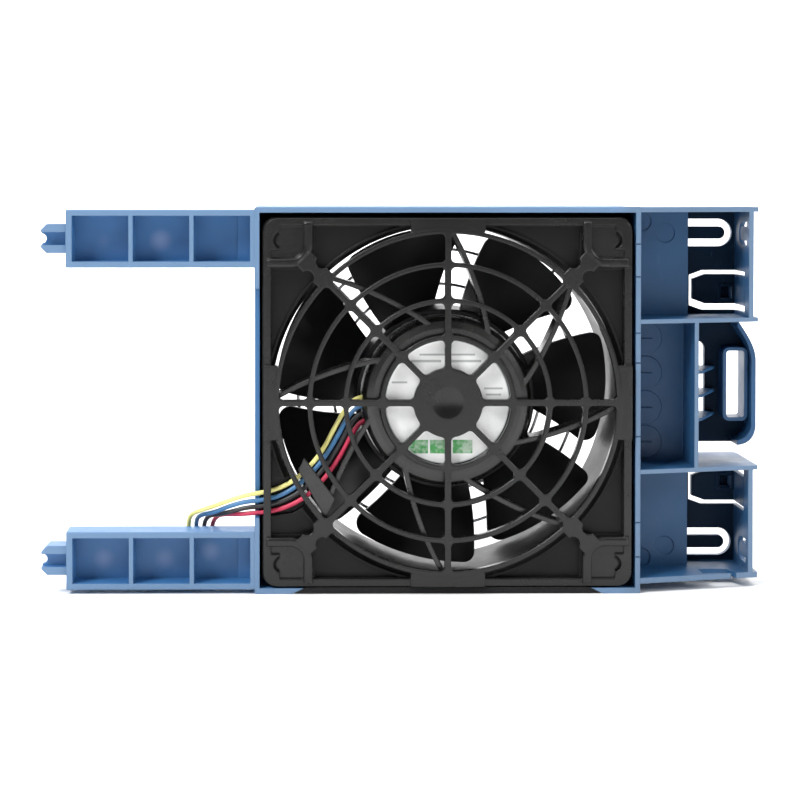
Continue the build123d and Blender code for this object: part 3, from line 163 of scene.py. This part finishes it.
# Carrier: places in millimetres along X or Y where its painted shade (recessed walls, latch
# bays) and painted highlight (front rims, front faces at the far left end) start and end, and
# how strongly
DEEP_START = 1.0
DEEP_END = 5.0
DEEP_SHADE_SHARE = 0.86
BAY_START = 55.0
BAY_END = 60.0
BAY_SHADE_SHARE = 0.6
SLANT_START = 62.5
SLANT = 9.0 / 40.5
RIM_START = -20.5
RIM_END = -20.9
RIM_HIGHLIGHT_SHARE = 0.66
PIN_START = -123.3
PIN_END = -123.6
PIN_FRONT = -18.5
SCUFF_SHARE = 0.16

# Pale flow marks in the arms' pockets: X, Z, radius in millimetres, and strength
MOULD_MARKS = [
    (-93.4, 114.3, 3.2, 0.55), (-112.1, 9.8, 2.8, 0.4), (-92.1, 9.8, 2.8, 0.35),
    (-77.0, 12.1, 2.6, 0.4), (-112.0, 114.0, 2.0, 0.15)]
MARK_REACH = 12.0
MARK_CORE = 0.35
MARK_BLUR = 2.6
MARK_WANDER = 2.0

BLUE_DARK = srgb(58, 110, 160)
BLUE_LIGHT = srgb(68, 120, 172)
# Painted shade: dark navy laid over the latch bays on the right, beyond X 55 to 60 mm
BAY_SHADE_BLUE = srgb(2, 44, 74)
# Painted shade: near-black blue laid on front-facing walls set back behind the front, for the
# shade in the recesses
DEEP_SHADE_BLUE = srgb(6, 14, 24)
# Painted highlight: pale blue laid on the front rims and on the front faces at the far left end
RIM_HIGHLIGHT_BLUE = srgb(112, 135, 160)
MARK_BLUE = srgb(150, 168, 204)
SCUFF_BLUE = srgb(104, 138, 172)

# Limits of a noise's usual values, of how far a face turns to the front, and of a flow streak
NOISE_LOW = 0.3
NOISE_HIGH = 0.7
FACING_LOW = 0.5
FACING_HIGH = 0.9
FLOW_HEIGHT = 0.00006
BEVEL_SAMPLES = 4


class Tree:
    """A material's node tree with short calls for its nodes."""

    def __init__(self, name):
        self.material = bpy.data.materials.new(name)
        self.material.use_nodes = True
        self.nodes = self.material.node_tree.nodes
        self.links = self.material.node_tree.links
        self.shader = self.nodes["Principled BSDF"]
        self.coordinates = self.nodes.new("ShaderNodeTexCoord").outputs["Object"]

    def put(self, socket, value):
        if isinstance(value, bpy.types.NodeSocket):
            self.links.new(value, socket)
        elif value is not None:
            socket.default_value = value

    def noise(self, scale, detail=3.0, rough=0.55, vector=None):
        node = self.nodes.new("ShaderNodeTexNoise")
        self.put(node.inputs["Vector"], vector or self.coordinates)
        node.inputs["Scale"].default_value = scale
        node.inputs["Detail"].default_value = detail
        node.inputs["Roughness"].default_value = rough
        return node.outputs["Fac"]

    def math(self, operation, a, b=None):
        node = self.nodes.new("ShaderNodeMath")
        node.operation = operation
        for socket, value in zip(node.inputs, (a, b)):
            self.put(socket, value)
        return node.outputs[0]

    def span(self, value, low, high, new_low=0.0, new_high=1.0, smooth=False):
        node = self.nodes.new("ShaderNodeMapRange")
        node.interpolation_type = "SMOOTHSTEP" if smooth else "LINEAR"
        for socket, item in zip(node.inputs, (value, low, high, new_low, new_high)):
            self.put(socket, item)
        return node.outputs[0]

    def mix(self, factor, a, b):
        node = self.nodes.new("ShaderNodeMix")
        node.data_type = "RGBA"
        self.put(node.inputs[0], factor)
        self.put(node.inputs[6], a)
        self.put(node.inputs[7], b)
        return node.outputs[2]

    def split(self, vector=None):
        node = self.nodes.new("ShaderNodeSeparateXYZ")
        self.put(node.inputs[0], vector or self.coordinates)
        return node.outputs

    def stretched(self, sx, sy, sz):
        node = self.nodes.new("ShaderNodeMapping")
        self.put(node.inputs["Vector"], self.coordinates)
        node.inputs["Scale"].default_value = (sx, sy, sz)
        return node.outputs[0]

    def normal(self, heights, bevel=0.0):
        """Bump from (height, distance, strength) rows over rounded edges."""
        previous = None
        if bevel:
            node = self.nodes.new("ShaderNodeBevel")
            node.samples = BEVEL_SAMPLES
            node.inputs["Radius"].default_value = bevel
            previous = node.outputs[0]
        for height, distance, strength in heights:
            node = self.nodes.new("ShaderNodeBump")
            node.inputs["Distance"].default_value = distance
            node.inputs["Strength"].default_value = strength
            self.put(node.inputs["Height"], height)
            if previous is not None:
                self.links.new(previous, node.inputs["Normal"])
            previous = node.outputs[0]
        self.links.new(previous, self.shader.inputs["Normal"])

    def distance(self, across, up):
        """Distance from the origin of two coordinates."""
        return self.math("SQRT", self.math("ADD", self.math("MULTIPLY", across, across),
                                           self.math("MULTIPLY", up, up)))

    def drifting(self, value, low, high):
        """Value that wanders between low and high with a noise."""
        return self.span(value, NOISE_LOW, NOISE_HIGH, low, high)

    def surface(self, colour, roughness, metallic=0.0, specular=0.5):
        self.put(self.shader.inputs["Base Color"], colour)
        self.put(self.shader.inputs["Roughness"], roughness)
        self.shader.inputs["Metallic"].default_value = metallic
        self.put(self.shader.inputs["Specular IOR Level"], specular)


def moulded(name, dark, light, rough, grain, bevel, specular=0.5, flow=True):
    """Moulded plastic: slow colour drift, fine grain and faint flow streaks."""
    tree = Tree(name)
    drift = tree.noise(22, 3)
    colour = tree.mix(tree.drifting(drift, 0.0, 1.0), dark, light)
    fine = tree.noise(4200, 2)
    patches = tree.noise(90, 4, 0.6)
    roughness = tree.drifting(patches, rough[0], rough[1])
    heights = [(fine, grain, 0.5), (tree.noise(700, 2), grain * 2, 0.25)]
    if flow:
        streaks = tree.noise(60, 2, vector=tree.stretched(0.4, 1, 3))
        heights.append((streaks, FLOW_HEIGHT, 0.2))
    tree.surface(colour, roughness, specular=specular)
    tree.normal(heights, bevel)
    return tree.material


def carrier_blue():
    """Blue carrier moulding: painted highlight on the front rims and the front faces at the far
    left end, painted shade on recessed walls and across the latch bays, and faint scuffs.
    """
    tree = Tree("carrier_blue")
    x, y, z = tree.split()
    drift = tree.noise(18, 3)
    base = tree.mix(tree.drifting(drift, 0.0, 1.0), BLUE_DARK, BLUE_LIGHT)
    geometry = tree.nodes.new("ShaderNodeNewGeometry")
    forward = tree.math("MULTIPLY", tree.split(geometry.outputs["Normal"])[1], -1.0)
    facing = tree.span(forward, FACING_LOW, FACING_HIGH)
    # Painted shade on front-facing walls set back from the front; the specular is lowered there
    # along with it
    deep_shade = tree.math("MULTIPLY", facing,
                     tree.span(y, DEEP_START * MM, DEEP_END * MM, smooth=True))
    # Painted shade across the latch bays on the right
    bay_shade = tree.span(x, BAY_START * MM, BAY_END * MM)
    base = tree.mix(tree.math("MULTIPLY", bay_shade, BAY_SHADE_SHARE), base, BAY_SHADE_BLUE)
    base = tree.mix(tree.math("MULTIPLY", deep_shade, DEEP_SHADE_SHARE), base, DEEP_SHADE_BLUE)
    # Painted highlight on the front rims, following the right section's slanted front, and on
    # the front faces at the far left end
    beyond = tree.math("MAXIMUM", tree.math("SUBTRACT", x, SLANT_START * MM), 0.0)
    front = tree.math("SUBTRACT", y, tree.math("MULTIPLY", beyond, SLANT))
    rim = tree.span(front, RIM_START * MM, RIM_END * MM, smooth=True)
    pin_highlight = tree.math("MULTIPLY", tree.span(x, PIN_START * MM, PIN_END * MM),
                    tree.math("MULTIPLY", facing, tree.math("LESS_THAN", y, PIN_FRONT * MM)))
    rim = tree.math("MAXIMUM", rim, pin_highlight)
    base = tree.mix(tree.math("MULTIPLY", rim, RIM_HIGHLIGHT_SHARE), base, RIM_HIGHLIGHT_BLUE)
    for place_x, place_z, radius, strength in MOULD_MARKS:
        reach = tree.distance(tree.math("SUBTRACT", x, place_x * MM),
                              tree.math("SUBTRACT", z, place_z * MM))
        reach = tree.math("ADD", reach, tree.math("MULTIPLY", drift, MARK_WANDER * MM))
        mark = tree.span(reach, MARK_CORE * radius * MM, (radius + MARK_BLUR) * MM,
                         strength, 0.0, smooth=True)
        mark = tree.math("MULTIPLY", mark, tree.math("LESS_THAN", y, MARK_REACH * MM))
        base = tree.mix(tree.math("MULTIPLY", mark, facing), base, MARK_BLUE)
    scuff = tree.noise(240, 6, 0.7, vector=tree.stretched(1.0, 1.0, 0.25))
    base = tree.mix(tree.span(scuff, 0.62, 0.75, 0.0, SCUFF_SHARE), base, SCUFF_BLUE)
    roughness = tree.drifting(tree.noise(110, 4, 0.6), 0.36, 0.5)
    specular = tree.span(deep_shade, 0.0, 1.0, 0.45, 0.06)
    tree.surface(base, roughness, specular=specular)
    tree.normal([(tree.noise(3800, 2), 0.00002, 0.5), (tree.noise(800, 2), 0.00004, 0.3),
                 (tree.noise(45, 2), 0.0002, 0.12)], 0.0004)
    return tree.material


def metal(name, colour, rough=(0.2, 0.35), brushed=None, bevel=0.0002):
    """Bare metal with fine scratches."""
    tree = Tree(name)
    vector = tree.stretched(*brushed) if brushed else None
    lines = tree.noise(600, 4, 0.6, vector=vector)
    dull = tuple(c * 0.82 for c in colour[:3]) + (1.0,)
    tree.surface(tree.mix(tree.drifting(tree.noise(60), 0.0, 1.0), colour, dull),
                 tree.drifting(lines, rough[0], rough[1]), metallic=1.0)
    tree.normal([(lines, 0.00001, 0.4)], bevel)
    return tree.material


def insulation(name, dark, light):
    """Soft lead insulation with a slight sheen and drifting shade."""
    tree = Tree(name)
    colour = tree.mix(tree.drifting(tree.noise(160, 3), 0.0, 1.0), dark, light)
    tree.surface(colour, tree.drifting(tree.noise(300, 3), 0.32, 0.48))
    tree.normal([(tree.noise(1400, 2), 0.00002, 0.3)])
    return tree.material


def label_paper():
    """White satin label with green blocks, a green line and grey bars, no lettering."""
    tree = Tree("label_face")
    x, _, z = tree.split()
    z = tree.math("SUBTRACT", z, AXIS_Z * MM)
    radius = tree.distance(x, z)

    def between(value, low, high):
        return tree.math("MULTIPLY", tree.math("GREATER_THAN", value, low),
                         tree.math("LESS_THAN", value, high))

    def box(x0, x1, z0, z1):
        return tree.math("MULTIPLY", between(x, x0, x1), between(z, z0, z1))

    colour = tree.mix(tree.drifting(tree.noise(40), 0.0, 1.0), srgb(252, 253, 252),
                      srgb(246, 248, 247))
    green = srgb(58, 158, 76)
    soft = tree.span(tree.noise(500, 2), 0.38, 0.62, 0.55, 1.0)
    for place in LABEL_GREEN:
        colour = tree.mix(tree.math("MULTIPLY", box(*place), soft), colour, green)
    for place in LABEL_GREY:
        colour = tree.mix(tree.math("MULTIPLY", box(*place), 0.55), colour, srgb(84, 90, 92))
    edge = tree.math("GREATER_THAN", radius, LABEL_RIM)
    colour = tree.mix(edge, colour, srgb(200, 204, 204))
    tree.surface(colour, tree.drifting(tree.noise(200), 0.22, 0.3))
    tree.normal([(tree.noise(2600, 2), 0.00001, 0.3)], 0.0001)
    return tree.material


def foam():
    """Open-cell seal foam."""
    tree = Tree("seal_foam")
    cells = tree.nodes.new("ShaderNodeTexVoronoi")
    tree.links.new(tree.coordinates, cells.inputs["Vector"])
    cells.inputs["Scale"].default_value = 2600
    distance = cells.outputs["Distance"]
    tree.surface(tree.mix(distance, srgb(14, 14, 15), srgb(46, 46, 48)), 0.92, specular=0.2)
    tree.normal([(distance, 0.0002, 0.7)], 0.0003)
    return tree.material


blue = carrier_blue()
fan_black = moulded("fan_black", srgb(9, 9, 9), srgb(15, 15, 14), (0.36, 0.5), 0.00003,
                    0.0005, specular=0.26)
mount_black = moulded("mount_black", srgb(26, 26, 25), srgb(34, 34, 33), (0.2, 0.32), 0.00003,
                      0.0007, specular=0.6)
blade_black = moulded("blade_black", srgb(10, 10, 11), srgb(15, 15, 16), (0.36, 0.5), 0.00001,
                      0.0003, specular=0.35)
guard_grey = moulded("guard_grey", srgb(17, 17, 17), srgb(25, 25, 24), (0.2, 0.3), 0.00003,
                     0.0009, specular=0.42)
cream = moulded("connector_cream", srgb(222, 219, 205), srgb(232, 230, 219), (0.4, 0.5),
                0.00001, 0.0003)
insulator_cream = moulded("insulator_cream", srgb(214, 208, 190), srgb(226, 221, 204),
                          (0.45, 0.6), 0.00001, 0.0003)
magnet_grey = moulded("magnet_grey", srgb(52, 50, 49), srgb(66, 64, 62), (0.5, 0.65), 0.00002,
                      0.0003, flow=False)
board_green = moulded("board_green", srgb(16, 78, 44), srgb(24, 98, 56), (0.25, 0.4), 0.00001,
                      0.0001)
chip_black = moulded("chip_black", srgb(22, 22, 23), srgb(34, 34, 35), (0.45, 0.6), 0.00002,
                     0.0001, flow=False)
plated = metal("plated_wire", (0.62, 0.62, 0.64, 1.0), (0.16, 0.3))
steel = metal("bright_steel", (0.56, 0.57, 0.58, 1.0), (0.22, 0.36), (1.0, 0.1, 1.0))
laminated = metal("laminated_steel", (0.42, 0.42, 0.43, 1.0), (0.35, 0.5), (0.1, 6.0, 0.1))
brass = metal("brass", (0.72, 0.53, 0.25, 1.0), (0.22, 0.36), (1.0, 0.1, 1.0))
copper = metal("winding_copper", (0.66, 0.27, 0.12, 1.0), (0.25, 0.4), (0.2, 3.0, 0.2))

finishes = {
    "carrier_plastic": blue, "tab_plastic": blue, "fan_plastic": fan_black,
    "impeller_plastic": blade_black, "guard_plastic": guard_grey, "label_foil": label_paper(),
    "seal_foam": foam(), "steel_wire": plated, "steel": steel, "electrical_steel": laminated,
    "magnet": magnet_grey, "brass": brass, "copper": copper,
    "insulator_plastic": insulator_cream, "board": board_green, "component": chip_black,
    "connector_plastic": cream,
}
node_finishes = {"motor_mount": mount_black}
node_slots = {part["node"]: part["material_slot"] for part in frame["record"]["subparts"]}
for name, node in nodes.items():
    finish = node_finishes.get(name) or finishes.get(node_slots[name])
    if finish is None:
        continue
    node.data.materials.clear()
    node.data.materials.append(finish)

lead_finishes = {
    "wire_yellow": insulation("lead_yellow", srgb(232, 222, 128), srgb(243, 236, 152)),
    "wire_blue": insulation("lead_blue", srgb(58, 108, 156), srgb(74, 128, 176)),
    "wire_black": insulation("lead_black", srgb(34, 34, 36), srgb(48, 48, 50)),
    "wire_red": insulation("lead_red", srgb(196, 44, 78), srgb(214, 60, 94)),
}
for name, lead in leads.items():
    lead.data.materials.append(lead_finishes[name])


# Floor, backdrop and light
WORLD_FRONT = 0.12
WORLD_BACK = 0.75
FLOOR_FRONT = -2.4
FLOOR_HALF_WIDTH = 3.2
CURVE_START = 0.9
CURVE_RADIUS = 0.9
CURVE_STEPS = 12
BACKDROP_TOP = 3.4


def make_stage():
    """Pale floor that curves up into a backdrop."""
    profile = [(FLOOR_FRONT, 0.0), (CURVE_START, 0.0)]
    for index in range(1, CURVE_STEPS + 1):
        angle = math.radians(90 * index / CURVE_STEPS)
        profile.append((CURVE_START + CURVE_RADIUS * math.sin(angle),
                        CURVE_RADIUS * (1 - math.cos(angle))))
    profile.append((CURVE_START + CURVE_RADIUS, BACKDROP_TOP))
    vertices, faces = [], []
    for y, z in profile:
        vertices += [(-FLOOR_HALF_WIDTH, y, z), (FLOOR_HALF_WIDTH, y, z)]
    for index in range(len(profile) - 1):
        a = 2 * index
        faces.append((a, a + 1, a + 3, a + 2))
    mesh = bpy.data.meshes.new("floor")
    mesh.from_pydata(vertices, [], faces)
    mesh.shade_smooth()
    floor = bpy.data.objects.new("floor", mesh)
    bpy.context.scene.collection.objects.link(floor)
    tree = Tree("floor")
    colour = tree.mix(tree.noise(3), (0.9, 0.9, 0.9, 1.0), (0.93, 0.93, 0.93, 1.0))
    tree.surface(colour, 0.75, specular=0.2)
    mesh.materials.append(tree.material)


def make_light(name, place, target, size, power):
    """White rectangular light in metres and watts, aimed at a point."""
    data = bpy.data.lights.new(name, "AREA")
    data.shape = "RECTANGLE"
    data.size, data.size_y = size
    data.energy = power
    light = bpy.data.objects.new(name, data)
    light.location = place
    aim = Vector(target) - Vector(place)
    light.rotation_euler = aim.to_track_quat("-Z", "Y").to_euler()
    bpy.context.scene.collection.objects.link(light)


def make_world():
    """Dim light from the viewer's side and bright light from the sides and the back."""
    world = bpy.data.worlds.new("studio")
    world.use_nodes = True
    tree = world.node_tree
    direction = tree.nodes.new("ShaderNodeTexCoord").outputs["Generated"]
    parts = tree.nodes.new("ShaderNodeSeparateXYZ")
    tree.links.new(direction, parts.inputs[0])
    spread = tree.nodes.new("ShaderNodeMapRange")
    spread.interpolation_type = "SMOOTHSTEP"
    for socket, value in zip(spread.inputs, (None, -1.0, 0.3, WORLD_FRONT, WORLD_BACK)):
        if value is not None:
            socket.default_value = value
    tree.links.new(parts.outputs[1], spread.inputs[0])
    tree.links.new(spread.outputs[0], tree.nodes["Background"].inputs["Strength"])
    tree.nodes["Background"].inputs["Color"].default_value = (1.0, 1.0, 1.0, 1.0)
    bpy.context.scene.world = world


make_stage()
make_world()
make_light("key", (-0.9, -0.75, 1.2), (0, 0, 0.06), (0.5, 0.4), 24)
make_light("fill", (1.2, -0.8, 0.75), (0, 0, 0.06), (0.5, 0.5), 8)
make_light("top", (0.0, 0.1, 1.5), (0, 0, 0.0), (1.4, 1.0), 16)
make_light("back", (0.0, 0.9, 1.2), (0, 1.6, 0.4), (2.4, 0.8), 36)
bpy.context.scene.view_settings.view_transform = "Standard"
